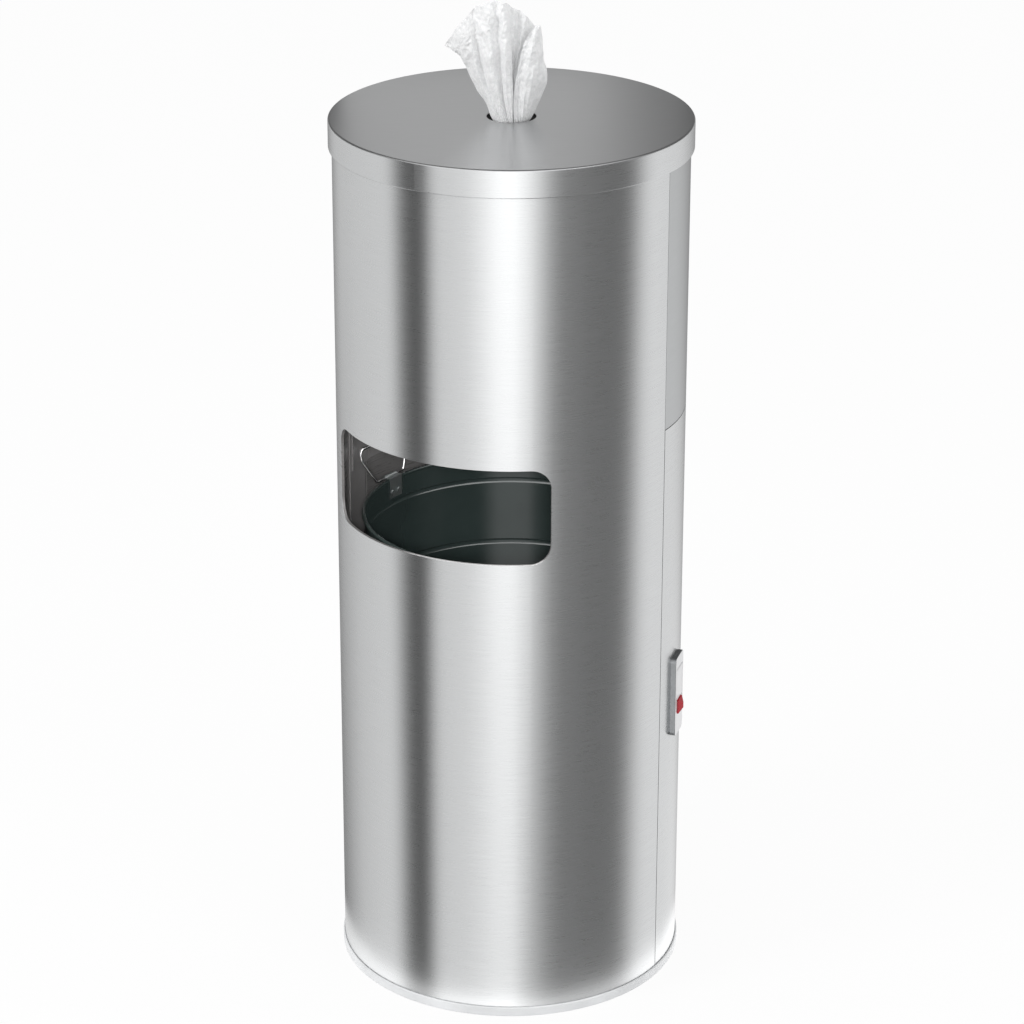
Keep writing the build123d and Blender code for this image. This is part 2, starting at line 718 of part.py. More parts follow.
# Lifting loops, each hinged in a strap that wraps over the rim and is riveted inside the wall.
strap_over_z = rim_z + rim_tube
barrel_in = wire_r + pin_fit
barrel_out = barrel_in + strap_t
for name, deg in (("left", -90 + bin_yaw), ("right", 90 + bin_yaw)):
    half_deg = math.degrees(strap_w / 2 / bin_r)
    flap_out = bin_in - seat
    flap_face = flap_out - strap_t
    strap = strip(flap_face, flap_out, deg - half_deg, deg + half_deg, flap_z, strap_over_z + strap_t)
    strap = strap + strip(
        flap_face, loop_r, deg - half_deg, deg + half_deg, strap_over_z, strap_over_z + strap_t
    )
    bar_plane = Plane(
        origin=radial(deg) * loop_r + Vector(0, 0, loop_z),
        x_dir=radial(deg),
        z_dir=tangent(deg),
    )
    barrel = bar_plane * (Cylinder(barrel_out, strap_w) - Cylinder(barrel_in, strap_w + 2))
    clear = bar_plane * Cylinder(barrel_in, strap_w + 2)
    bin_clear = Pos(0, 0, rim_z) * Torus(rim_r, rim_tube)
    wall_clear = rod(bin_r, flap_z - 1, rim_z) - rod(bin_in, flap_z - 1, rim_z)
    strap = strap + barrel - clear - bin_clear - wall_clear
    rivets = []
    for i, side_deg in enumerate((-half_deg / 2, half_deg / 2)):
        rivet_plane = Plane(
            origin=radial(deg + side_deg) * bin_r + Vector(0, 0, flap_z + 6),
            x_dir=tangent(deg + side_deg),
            z_dir=radial(deg + side_deg),
        )
        rivet = rod(1.6, -bin_t - strap_t - 1.2, 0.9)
        rivet = rivet + rod(2.8, -bin_t - strap_t - 1.2, -bin_t) + rod(2.6, -bin_t, 0.9)
        shank = rivet_plane * rod(1.6, -bin_t - strap_t - 3, 3)
        strap = strap - shank
        bin_wall = bin_wall - shank
        rivets.append(rivet_plane * rivet)
    save(strap, "bin_strap_" + name)
    for i, rivet in enumerate(rivets):
        save(rivet - strap - bin_wall, "strap_rivet_" + name + "_" + str(i + 1))
    loop_plane = Plane(
        origin=radial(deg) * loop_r + Vector(0, 0, loop_z),
        x_dir=tangent(deg),
        z_dir=tangent(deg).cross(
            radial(deg) * math.sin(math.radians(loop_lean))
            + Vector(0, 0, math.cos(math.radians(loop_lean)))
        ),
    )
    outline = FilletPolyline(
        (-loop_foot, 0),
        (loop_foot, 0),
        (loop_half_w, loop_flare_h),
        (loop_half_w, loop_h),
        (-loop_half_w, loop_h),
        (-loop_half_w, loop_flare_h),
        radius=loop_corner,
        close=True,
    )
    path = loop_plane * outline
    start = Plane(origin=path @ 0, z_dir=path % 0)
    loop = sweep(start * Circle(wire_r), path=path)
    save(loop, "handle_" + name)

save(bin_wall, "bin_wall")

print("parts written:", len(os.listdir("parts")))
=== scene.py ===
import math
import bmesh
import bpy
from mathutils import Matrix, Vector, noise


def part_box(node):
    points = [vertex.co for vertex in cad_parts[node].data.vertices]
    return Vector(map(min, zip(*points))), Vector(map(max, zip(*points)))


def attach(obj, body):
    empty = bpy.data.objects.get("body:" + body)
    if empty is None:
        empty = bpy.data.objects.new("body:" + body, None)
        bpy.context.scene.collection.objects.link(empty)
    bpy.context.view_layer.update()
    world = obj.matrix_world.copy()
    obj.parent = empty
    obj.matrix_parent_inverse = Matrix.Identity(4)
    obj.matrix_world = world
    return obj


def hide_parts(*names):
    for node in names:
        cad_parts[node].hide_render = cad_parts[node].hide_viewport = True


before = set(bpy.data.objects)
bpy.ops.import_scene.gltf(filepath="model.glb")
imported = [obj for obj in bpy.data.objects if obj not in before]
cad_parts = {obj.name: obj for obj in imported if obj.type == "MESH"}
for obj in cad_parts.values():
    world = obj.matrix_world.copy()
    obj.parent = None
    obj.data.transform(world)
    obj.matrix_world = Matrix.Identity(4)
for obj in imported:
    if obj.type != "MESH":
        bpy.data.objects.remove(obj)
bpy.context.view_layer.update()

# The base is a moulded light grey ring with a slightly rough skin. The shell stands in a groove in
# its top, and the whole stand rests on its flat underside.


def moulded(name, colour, roughness, grain=900.0, depth=0.12):
    made = bpy.data.materials.new(name)
    made.use_nodes = True
    nodes, links = made.node_tree.nodes, made.node_tree.links
    skin = nodes["Principled BSDF"]
    skin.inputs["Roughness"].default_value = roughness
    place = nodes.new("ShaderNodeTexCoord")
    pits = nodes.new("ShaderNodeTexNoise")
    pits.inputs["Scale"].default_value = grain
    pits.inputs["Detail"].default_value = 2.0
    links.new(place.outputs["Object"], pits.inputs["Vector"])
    cloud = nodes.new("ShaderNodeTexNoise")
    cloud.inputs["Scale"].default_value = 22.0
    cloud.inputs["Detail"].default_value = 3.0
    links.new(place.outputs["Object"], cloud.inputs["Vector"])
    tone = nodes.new("ShaderNodeValToRGB")
    tone.color_ramp.elements[0].position = 0.3
    tone.color_ramp.elements[0].color = (*[c * 0.9 for c in colour], 1)
    tone.color_ramp.elements[1].position = 0.7
    tone.color_ramp.elements[1].color = (*[min(1.0, c * 1.06) for c in colour], 1)
    links.new(cloud.outputs["Fac"], tone.inputs["Fac"])
    links.new(tone.outputs["Color"], skin.inputs["Base Color"])
    bump = nodes.new("ShaderNodeBump")
    bump.inputs["Strength"].default_value = depth
    bump.inputs["Distance"].default_value = 0.0002
    links.new(pits.outputs["Fac"], bump.inputs["Height"])
    links.new(bump.outputs["Normal"], skin.inputs["Normal"])
    return made


def dress(made, *nodes):
    for name in nodes:
        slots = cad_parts[name].data.materials
        if len(slots) == 0:
            slots.append(made)
        for i in range(len(slots)):
            slots[i] = made


base_grey = moulded("base_grey_moulding", (0.74, 0.75, 0.76), 0.34)
dress(base_grey, "base_ring")

# The cabinet is rolled from satin stainless sheet with the brush lines running round it. The front
# half is one sheet with the hemmed disposal opening, the back is a fixed panel above a door.


facing = math.radians(30.6)
shell_r, inside_r = 0.1725, 0.1721


def lines_round(nodes, links, place, steel):
    parts = nodes.new("ShaderNodeSeparateXYZ")
    links.new(place.outputs["Object"], parts.inputs["Vector"])
    turn = nodes.new("ShaderNodeMath")
    turn.operation = "ARCTAN2"
    links.new(parts.outputs["Y"], turn.inputs[0])
    links.new(parts.outputs["X"], turn.inputs[1])
    arc = nodes.new("ShaderNodeMath")
    arc.operation = "MULTIPLY"
    arc.inputs[1].default_value = shell_r
    links.new(turn.outputs[0], arc.inputs[0])
    wrap = nodes.new("ShaderNodeCombineXYZ")
    links.new(arc.outputs[0], wrap.inputs["X"])
    links.new(parts.outputs["Z"], wrap.inputs["Z"])
    round_it = nodes.new("ShaderNodeTangent")
    round_it.direction_type = "RADIAL"
    round_it.axis = "Z"
    links.new(round_it.outputs["Tangent"], steel.inputs["Tangent"])
    return wrap.outputs["Vector"]


def lines_straight(nodes, links, place):
    wrap = nodes.new("ShaderNodeMapping")
    wrap.inputs["Rotation"].default_value = (0, 0, -facing)
    links.new(place.outputs["Object"], wrap.inputs["Vector"])
    return wrap.outputs["Vector"]


# Faces inside the shell's radius get less metal and a darker colour; the darker colour is painted shade
# inside the cabinet.
def dull_and_shaded_within(nodes, links, place, steel, outside, inside):
    level = nodes.new("ShaderNodeVectorMath")
    level.operation = "MULTIPLY"
    level.inputs[1].default_value = (1, 1, 0)
    links.new(place.outputs["Object"], level.inputs[0])
    reach = nodes.new("ShaderNodeVectorMath")
    reach.operation = "LENGTH"
    links.new(level.outputs["Vector"], reach.inputs[0])
    within = nodes.new("ShaderNodeMath")
    within.operation = "LESS_THAN"
    within.inputs[1].default_value = inside_r
    links.new(reach.outputs["Value"], within.inputs[0])
    side = nodes.new("ShaderNodeMix")
    side.data_type = "RGBA"
    links.new(within.outputs[0], side.inputs["Factor"])
    links.new(outside, side.inputs["A"])
    side.inputs["B"].default_value = (*inside, 1)
    links.new(side.outputs["Result"], steel.inputs["Base Color"])
    dull = nodes.new("ShaderNodeMapRange")
    dull.inputs["To Min"].default_value = 1.0
    dull.inputs["To Max"].default_value = 0.45
    links.new(within.outputs[0], dull.inputs["Value"])
    links.new(dull.outputs["Result"], steel.inputs["Metallic"])


def brushed(name, colour, roughness, across, along, streak, flat=False, anisotropic=0.8, inside=None):
    made = bpy.data.materials.new(name)
    made.use_nodes = True
    nodes, links = made.node_tree.nodes, made.node_tree.links
    steel = nodes["Principled BSDF"]
    steel.inputs["Metallic"].default_value = 1.0
    steel.inputs["Anisotropic"].default_value = anisotropic
    steel.inputs["Anisotropic Rotation"].default_value = 0.25
    place = nodes.new("ShaderNodeTexCoord")
    where = lines_straight(nodes, links, place) if flat else lines_round(nodes, links, place, steel)
    lay = nodes.new("ShaderNodeMapping")
    lay.inputs["Scale"].default_value = (along, across if flat else 1.0, across)
    links.new(where, lay.inputs["Vector"])
    lines = nodes.new("ShaderNodeTexNoise")
    lines.inputs["Scale"].default_value = 1.0
    lines.inputs["Detail"].default_value = 5.0
    lines.inputs["Roughness"].default_value = 0.72
    links.new(lay.outputs["Vector"], lines.inputs["Vector"])
    tone = nodes.new("ShaderNodeValToRGB")
    tone.color_ramp.elements[0].position = 0.25
    tone.color_ramp.elements[0].color = (*[c * (1 - streak) for c in colour], 1)
    tone.color_ramp.elements[1].position = 0.75
    tone.color_ramp.elements[1].color = (*[min(1.0, c * (1 + streak)) for c in colour], 1)
    links.new(lines.outputs["Fac"], tone.inputs["Fac"])
    links.new(tone.outputs["Color"], steel.inputs["Base Color"])
    if inside:
        dull_and_shaded_within(nodes, links, place, steel, tone.outputs["Color"], inside)
    rub = nodes.new("ShaderNodeMapRange")
    rub.inputs["From Min"].default_value = 0.25
    rub.inputs["From Max"].default_value = 0.75
    rub.inputs["To Min"].default_value = roughness * 0.93
    rub.inputs["To Max"].default_value = roughness * 1.07
    links.new(lines.outputs["Fac"], rub.inputs["Value"])
    links.new(rub.outputs["Result"], steel.inputs["Roughness"])
    bump = nodes.new("ShaderNodeBump")
    bump.inputs["Strength"].default_value = 0.02
    bump.inputs["Distance"].default_value = 0.0001
    links.new(lines.outputs["Fac"], bump.inputs["Height"])
    links.new(bump.outputs["Normal"], steel.inputs["Normal"])
    return made


# The grey for the shell's inner faces is painted shade inside the cabinet, on a duller, less metallic
# finish.
satin, inside_shade_grey = (0.652, 0.66, 0.664), (0.235, 0.228, 0.226)
shell_steel = brushed("shell_steel", satin, 0.28, 1000.0, 26.0, 0.07, anisotropic=0.86, inside=inside_shade_grey)
dress(shell_steel, "front_shell", "door_panel")
upper_steel = brushed("upper_panel_steel", (0.49, 0.5, 0.505), 0.3, 1000.0, 26.0, 0.06)
dress(upper_steel, "rear_upper_panel")

# Hidden sheet work: floor pan, hoop, seam strips, shelf, strike, ribs and hinge leaves are pressed
# from plain steel, spot-welded in place, and left dull with faint rolling marks. Inside the shell
# their colour is darker still, as painted shade. The strip behind the door's latch edge is painted
# near black as painted shade, and is seen only as the dark line of the seam.
# The darker inside colour of this steel is painted shade inside the cabinet.
inside_shade_mill = (0.34, 0.33, 0.33)
mill_steel = brushed("mill_finish_steel", (0.42, 0.4, 0.39), 0.4, 600.0, 30.0, 0.05, inside=inside_shade_mill)
dress(mill_steel, "base_plate", "top_hoop", "hinge_jamb", "wipes_shelf", "strike_plate")
dress(mill_steel, "door_rib_lower", "door_rib_upper")
for i in (1, 2, 3):
    dress(mill_steel, f"hinge_{i}_fixed_leaf", f"hinge_{i}_door_leaf")
# The latch jamb is painted near black as painted shade, so the seam beside the door reads as a dark gap.
seam_shade_strip = moulded("seam_painted_shade", (0.03, 0.03, 0.03), 0.6)
dress(seam_shade_strip, "latch_jamb")

# Small fixings: hinge pins, studs, nuts, rivets, straps, hook and pins are zinc-plated steel with a
# satin, slightly clouded plating.


def plated(name, colour, roughness):
    made = moulded(name, colour, roughness, grain=400.0, depth=0.05)
    made.node_tree.nodes["Principled BSDF"].inputs["Metallic"].default_value = 1.0
    return made


zinc = plated("zinc_plating", (0.62, 0.63, 0.64), 0.32)
dress(zinc, "latch_hook", "hook_pin", "paddle_pin")
for i in (1, 2, 3):
    dress(zinc, f"hinge_{i}_pin", f"nozzle_stud_{i}", f"nozzle_nut_{i}")
dark_zinc = plated("dark_zinc_plating", (0.34, 0.36, 0.36), 0.5)
for side in ("left", "right"):
    dress(dark_zinc, f"bin_strap_{side}", f"strap_rivet_{side}_1", f"strap_rivet_{side}_2")

# The roll is a long strip of nonwoven wipes wound on itself with an open core, so its ends show the
# edges of the turns and its side is one smooth wrap. It stands loose on the shelf.


def smoothed(form):
    bmesh.ops.recalc_face_normals(form, faces=form.faces)
    for face in form.faces:
        face.smooth = True


def placed(form, name):
    mesh = bpy.data.meshes.new(name)
    form.to_mesh(mesh)
    form.free()
    made = bpy.data.objects.new(name, mesh)
    bpy.context.collection.objects.link(made)
    return made


core_r, outer_r = 0.022, 0.1
low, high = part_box("wipes_roll")
turns = 46
wound = bmesh.new()
section = [Vector((core_r, 0, low[2])), Vector((core_r, 0, high[2]))]
for i in range(turns):
    r = core_r + (outer_r - core_r) * (i + 0.5) / turns
    sink = 0.0012 + 0.0009 * noise.noise(Vector((r * 400, 3.1, 0)))
    section.append(Vector((r, 0, high[2] - sink * (0.3 if i % 2 else 1.0))))
section += [Vector((outer_r - 0.002, 0, high[2])), Vector((outer_r, 0, high[2] - 0.003))]
section += [Vector((outer_r, 0, low[2] + 0.003)), Vector((outer_r - 0.003, 0, low[2]))]
ring = [wound.verts.new(p) for p in section]
edges = [wound.edges.new((ring[i], ring[(i + 1) % len(ring)])) for i in range(len(ring))]
bmesh.ops.spin(
    wound, geom=ring + edges, cent=(0, 0, 0), axis=(0, 0, 1), angle=math.tau, steps=72, use_merge=True
)
bmesh.ops.remove_doubles(wound, verts=wound.verts, dist=1e-6)
smoothed(wound)
roll = placed(wound, "roll_of_wipes")
roll_white = moulded("roll_nonwoven", (0.84, 0.84, 0.83), 0.85, grain=700.0, depth=0.5)
roll.data.materials.append(roll_white)
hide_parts("wipes_roll")
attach(roll, "cabinet")

# The lid is pressed from satin stainless with a deep skirt and a small radius round its top. It
# drops over the shell, and the wipe comes up through the hole in its middle. The brush lines run
# straight across the top and round the skirt.


def reface(node, made, chosen):
    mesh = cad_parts[node].data
    mesh.materials.append(made)
    for face in mesh.polygons:
        if chosen(face.normal):
            face.material_index = len(mesh.materials) - 1


lid_steel = brushed("lid_steel", (0.60, 0.605, 0.61), 0.3, 900.0, 30.0, 0.05, flat=True, anisotropic=0.0)
skirt_steel = brushed("skirt_steel", satin, 0.28, 1000.0, 26.0, 0.07, anisotropic=0.86)
dress(lid_steel, "lid")
reface("lid", skirt_steel, lambda normal: abs(normal.z) < 0.5)

# The nozzle is a soft black moulding bolted under the lid, with slits that grip the wipe.
# Its funnel shows as the dark ring inside the lid's hole.
nozzle_black = moulded("nozzle_black", (0.02, 0.02, 0.02), 0.5)
dress(nozzle_black, "nozzle")

# The pulled-up wipe is one thin white nonwoven sheet, gathered in the nozzle and fanned out above
# the lid. A wide fan stands on the left, and the sheet's other edge folds back over on the right.
lid_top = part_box("lid")[1][2]
wipe_frame = Matrix.Translation((0, 0, lid_top)) @ Matrix.Rotation(facing, 4, "Z")
throat_depth = 23.5
settled = 0.982
heights = (-1.0, -0.45, 0.0, 0.2, 0.45, 0.7, 0.85, 1.0)
fold_lines = (
    (69, (-19.4, 3), (-24.4, 4), (-35.6, 2), (-43.0, 0), (-48.5, -2), (-64.0, -4)),
    (85, (-18.2, 10), (-24.4, 9), (-34.0, 6), (-43.6, 3), (-49.6, 2), (-54.0, 0)),
    (100, (-15.4, 15.5), (-22.2, 15), (-31.4, 12), (-38.0, 9), (-40.8, 7), (-42.6, 4)),
    (108, (-12.4, 18), (-19.2, 14), (-27.8, 7), (-33.0, 5), (-34.9, 4), (-35.3, 2)),
    (113, (-9.0, 20.3), (-15.8, 20), (-23.0, 17), (-26.4, 14), (-27.4, 11), (-27.8, 7)),
    (115, (-5.9, 21.3), (-12.6, 22), (-18.0, 20), (-19.9, 17), (-20.3, 14), (-20.3, 9)),
    (115.6, (-3.4, 19.5), (-8.3, 16), (-11.2, 12), (-12.8, 11), (-13.5, 10), (-13.8, 8)),
    (114.6, (-1.2, 21.8), (-4.6, 23.5), (-6.0, 22), (-7.0, 19), (-7.6, 15), (-8.2, 9)),
    (112.4, (1.4, 21), (1.4, 20), (0.7, 17), (-0.9, 13), (-2.4, 10), (-3.9, 6)),
    (109, (1.2, 14), (0.8, 9), (-0.4, 4), (-1.5, 2), (-1.8, 1), (-1.4, 1)),
    (105, (1.6, 10), (1.3, 5), (1.7, 1), (3.8, -1), (4.8, -2), (5.6, -2)),
    (101, (2.0, 8), (1.8, 7), (3.2, 6), (8.0, 6), (11.3, 5), (12.9, 3)),
    (97, (3.4, 4), (3.0, 0), (5.4, -2), (11.6, -3), (14.6, -2), (16.6, -1)),
    (89, (11.0, -3), (10.8, -7), (15.0, -9), (19.0, -8), (20.6, -6), (21.6, -4)),
    (85.4, (19.4, 2), (27.0, 2), (34.2, 2), (30.2, 2), (29.2, 1), (28.3, 0)),
    (91.8, (14.4, 14), (19.6, 17), (23.8, 18), (24.4, 15), (25.4, 11), (26.4, 6)),
    (92.2, (10.0, 18), (12.6, 21), (15.6, 22), (18.2, 19), (21.4, 14), (23.6, 8)),
    (92.0, (6.4, 19.5), (6.8, 18.5), (8.6, 17.5), (12.0, 15), (16.0, 11), (22.6, 7)),
    (91.6, (2.6, 21), (2.0, 21), (3.9, 19.5), (8.6, 16), (12.4, 12), (21.8, 7.4)),
)


def eased(a, b, c, d, s):
    return 0.5 * (2 * b + (c - a) * s + (2 * a - 5 * b + 4 * c - d) * s * s + (3 * (b - c) + d - a) * s**3)


def along(points, s):
    last = len(points) - 1
    i = min(int(s), last - 1)
    near = [points[min(max(k, 0), last)] for k in (i - 1, i, i + 1, i + 2)]
    return Vector([eased(*(p[axis] for p in near), s - i) for axis in range(3)])


def fold_line(height, *places):
    x, out = places[0]
    line = [Vector((x * 0.23, (out - 8) * 0.23, -throat_depth))]
    line.append(Vector((x * 0.62, (out - 3) * 0.62, -throat_depth * 0.45)))
    return line + [Vector((x, out, height * h)) for h, (x, out) in zip(heights[2:], places)]


def crumpled(place, side, rise):
    loose = max(0.0, min(1.0, (rise - 1.8) / 3.4))
    tight = max(0.0, 1.0 - rise / 5.4)
    drift = 0.5 * noise.noise(Vector((side * 0.7, rise * 0.45, 7.0)))
    gather = abs(((side * 1.55 + drift) % 1.0) - 0.5) * 4 - 1
    place.y += (1.3 + 0.9 * noise.noise(Vector((side * 1.3, 5.0, 1.0)))) * gather * tight
    soft = noise.noise(Vector((place.x * 0.055, place.y * 0.055, place.z * 0.04 + 3.0)))
    crease = abs(noise.noise(Vector((place.x * 0.11 + 4.0, 2.0, place.z * 0.045))))
    crumple = abs(noise.noise(Vector((place.x * 0.24, 1.0, place.z * 0.19))))
    dent = abs(noise.noise(Vector((place.x * 0.5, 3.0, place.z * 0.42))))
    place.y += (2.4 * soft - 4.2 * crease - 2.2 * crumple - 1.0 * dent) * loose
    place.x += 1.1 * noise.noise(Vector((place.x * 0.1, 6.0, place.z * 0.1))) * loose
    place.z += 1.6 * noise.noise(Vector((side * 1.1, 2.0, 4.0))) * loose
    place.z *= settled if place.z > 0 else 1.0
    return place


ribs = [fold_line(*row) for row in fold_lines]
across_n, up_n = 300, 150
levels = [[along(rib, (len(heights) - 1) * k / up_n) for rib in ribs] for k in range(up_n + 1)]
sheet = bmesh.new()
bmesh.ops.create_grid(sheet, x_segments=across_n, y_segments=up_n, size=0.5)
for v in sheet.verts:
    u, t = v.co.x + 0.5, v.co.y + 0.5
    side = u * (len(ribs) - 1)
    place = crumpled(along(levels[round(t * up_n)], side), side, t * (len(heights) - 1))
    v.co = wipe_frame @ (Vector((place.x, -place.y, place.z)) * 0.001)
smoothed(sheet)
wipe = placed(sheet, "pulled_wipe")

wipe_white = bpy.data.materials.new("wipe_nonwoven")
wipe_white.use_nodes = True
nodes, links = wipe_white.node_tree.nodes, wipe_white.node_tree.links
cloth = nodes["Principled BSDF"]
cloth.inputs["Roughness"].default_value = 0.75
cloth.inputs["Sheen Weight"].default_value = 0.2
cloth.inputs["Subsurface Weight"].default_value = 0.25
cloth.inputs["Subsurface Radius"].default_value = (0.004, 0.004, 0.004)
place = nodes.new("ShaderNodeTexCoord")
fibres = nodes.new("ShaderNodeTexNoise")
fibres.inputs["Scale"].default_value = 260.0
fibres.inputs["Detail"].default_value = 4.0
fibres.inputs["Distortion"].default_value = 1.2
links.new(place.outputs["Object"], fibres.inputs["Vector"])
tone = nodes.new("ShaderNodeValToRGB")
tone.color_ramp.elements[0].position = 0.35
tone.color_ramp.elements[0].color = (0.80, 0.81, 0.815, 1)
tone.color_ramp.elements[1].position = 0.65
tone.color_ramp.elements[1].color = (0.94, 0.94, 0.945, 1)
links.new(fibres.outputs["Fac"], tone.inputs["Fac"])
links.new(tone.outputs["Color"], cloth.inputs["Base Color"])
bump = nodes.new("ShaderNodeBump")
bump.inputs["Strength"].default_value = 0.35
bump.inputs["Distance"].default_value = 0.0003
links.new(fibres.outputs["Fac"], bump.inputs["Height"])
links.new(bump.outputs["Normal"], cloth.inputs["Normal"])
glow = nodes.new("ShaderNodeBsdfTranslucent")
glow.inputs["Color"].default_value = (0.9, 0.9, 0.9, 1)
thin = nodes.new("ShaderNodeMixShader")
thin.inputs["Fac"].default_value = 0.2
links.new(cloth.outputs["BSDF"], thin.inputs[1])
links.new(glow.outputs["BSDF"], thin.inputs[2])
links.new(thin.outputs["Shader"], nodes["Material Output"].inputs["Surface"])
wipe.data.materials.append(wipe_white)
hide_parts("wipe")
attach(wipe, "lid")

# Below the nozzle the strip of wipes is twisted tight into the core of the roll.
# It is the same cloth, pleated round on itself and turned two and a half times on the way down.
tail_low, tail_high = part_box("wipe_tail")
rope = bmesh.new()
bmesh.ops.create_grid(rope, x_segments=336, y_segments=48, size=0.5)
for v in rope.verts:
    u, t = v.co.x + 0.5, v.co.y + 0.5
    a = math.tau * u * 0.995 + 5.0 * math.pi * t
    z = tail_low[2] + (tail_high[2] - tail_low[2]) * t
    r = 0.0034 + 0.0021 * math.cos(14 * math.tau * u)
    r *= 1.0 + 0.06 * noise.noise(Vector((u * 3, t * 9, 0)))
    v.co = Vector((r * math.cos(a), r * math.sin(a), z))
smoothed(rope)
tail = placed(rope, "twisted_wipes")
tail.data.materials.append(wipe_white)
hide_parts("wipe_tail")
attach(tail, "lid")

# The latch is a cast bezel and paddle with a satin silver face, in a dark tray let into the door.
# The bezel's sides are painted a darker grey than its face, as painted shade on the faces turned
# away from the front. The red push button below the paddle is a smooth moulding with a faceted roof.
cast_silver = plated("latch_silver", (0.82, 0.82, 0.83), 0.36)
dress(cast_silver, "latch_paddle")
# This darker grey is painted shade for the bezel's sides; only its outward faces get the silver.
bezel_shade_grey = plated("bezel_shade_grey", (0.36, 0.37, 0.38), 0.4)
dress(bezel_shade_grey, "latch_bezel")
bezel_low, bezel_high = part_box("latch_bezel")
bezel_middle = (Vector(bezel_low) + Vector(bezel_high)) / 2
outward = Vector((bezel_middle.x, bezel_middle.y, 0)).normalized()
reface("latch_bezel", cast_silver, lambda normal: normal.dot(outward) > 0.8)
tray_dark = moulded("latch_tray_dark", (0.12, 0.12, 0.12), 0.45)
dress(tray_dark, "latch_tray")
button_red = moulded("button_red", (0.4, 0.008, 0.02), 0.34, grain=300.0, depth=0.03)
dress(button_red, "push_button")

# The inner bin is rolled sheet with beads and a rolled rim, stoved in a dark greenish black
# semi-gloss paint with a very faint orange-peel surface.
bin_paint = moulded("bin_black_paint", (0.032, 0.045, 0.043), 0.16, grain=160.0, depth=0.04)
bin_paint.node_tree.nodes["Principled BSDF"].inputs["Coat Weight"].default_value = 0.8
bin_paint.node_tree.nodes["Principled BSDF"].inputs["Coat Roughness"].default_value = 0.12
dress(bin_paint, "bin_wall", "bin_bottom")

# Each lifting loop is one bent length of bright plated wire, hinged in its strap on the rim.
# It swings free and leans outward against the cabinet.
wire_bright = plated("bright_wire", (0.8, 0.8, 0.8), 0.16)
dress(wire_bright, "handle_left", "handle_right")

# The studio floor is a wide pale disc. The camera sees it near white with the stand's shadow, and
# the steel sees the studio below the horizon instead of it.
floor = bmesh.new()
bmesh.ops.create_circle(floor, cap_ends=True, cap_tris=False, segments=96, radius=9.0)
studio_floor = placed(floor, "studio_floor")
pale = bpy.data.materials.new("floor_pale")
pale.use_nodes = True
nodes, links = pale.node_tree.nodes, pale.node_tree.links
paint = nodes["Principled BSDF"]
paint.inputs["Base Color"].default_value = (0.8, 0.8, 0.8, 1)
paint.inputs["Roughness"].default_value = 0.9
white = nodes.new("ShaderNodeEmission")
white.inputs["Color"].default_value = (1, 1, 1, 1)
white.inputs["Strength"].default_value = 1.0
seen = nodes.new("ShaderNodeLightPath")
share = nodes.new("ShaderNodeMath")
share.operation = "MULTIPLY"
share.inputs[1].default_value = 0.93
links.new(seen.outputs["Is Camera Ray"], share.inputs[0])
both = nodes.new("ShaderNodeMixShader")
links.new(share.outputs[0], both.inputs["Fac"])
links.new(paint.outputs["BSDF"], both.inputs[1])
links.new(white.outputs["Emission"], both.inputs[2])
links.new(both.outputs["Shader"], nodes["Material Output"].inputs["Surface"])
studio_floor.data.materials.append(pale)
studio_floor.visible_glossy = False

# The studio round the stand: white to the camera, plain soft light on matt things, and for the
# steel a ring of soft boxes and dark flags, which gives the upright bands along its sides.
studio = bpy.data.worlds.new("studio")
bpy.context.scene.world = studio
studio.use_nodes = True
nodes, links = studio.node_tree.nodes, studio.node_tree.links
nodes.clear()
way = nodes.new("ShaderNodeTexCoord")
facing_us = nodes.new("ShaderNodeMapping")
facing_us.vector_type = "POINT"
facing_us.inputs["Rotation"].default_value = (0, 0, math.radians(90) - facing)
links.new(way.outputs["Generated"], facing_us.inputs["Vector"])
sweep = nodes.new("ShaderNodeTexGradient")
sweep.gradient_type = "RADIAL"
links.new(facing_us.outputs["Vector"], sweep.inputs["Vector"])
boxes_and_flags = (
    (-180, 0.12, 0.12),
    (-156, 0.48, 0.20),
    (-144, 0.74, 0.34),
    (-122, 0.86, 0.74),
    (-90, 0.90, 0.94),
    (-84, 0.90, 0.96),
    (-79, 0.52, 0.72),
    (-75, 0.16, 0.24),
    (-70, 0.04, 0.04),
    (-64, 0.01, 0.01),
    (-60, 0.04, 0.02),
    (-56, 0.22, 0.18),
    (-52, 0.78, 0.72),
    (-47, 1.00, 0.94),
    (-40, 0.94, 0.88),
    (-28, 1.10, 0.84),
    (-18, 1.58, 0.76),
    (-9, 2.15, 0.70),
    (2, 2.40, 0.60),
    (10, 2.10, 0.14),
    (17, 1.46, 0.06),
    (24, 0.72, 0.10),
    (32, 0.26, 0.17),
    (50, 0.13, 0.20),
    (76, 0.12, 0.19),
    (82, 0.22, 0.30),
    (89, 0.60, 0.58),
    (96, 0.94, 0.88),
    (104, 1.02, 1.00),
    (130, 0.86, 1.02),
    (152, 0.54, 1.15),
    (180, 0.16, 0.40),
)


def ring_of_boxes(column):
    band = nodes.new("ShaderNodeValToRGB")
    ramp = band.color_ramp
    ramp.elements.remove(ramp.elements[1])
    for k, row in enumerate(boxes_and_flags):
        stop = ramp.elements[0] if k == 0 else ramp.elements.new((row[0] + 180) / 360)
        stop.position = (row[0] + 180) / 360
        stop.color = (row[column],) * 3 + (1,)
    links.new(sweep.outputs["Fac"], band.inputs["Fac"])
    return band.outputs["Color"]


def share_of_height(low, high, smooth):
    share = nodes.new("ShaderNodeMapRange")
    share.interpolation_type = "SMOOTHSTEP" if smooth else "LINEAR"
    share.inputs["From Min"].default_value = low
    share.inputs["From Max"].default_value = high
    links.new(height.outputs["Z"], share.inputs["Value"])
    return share.outputs["Result"]


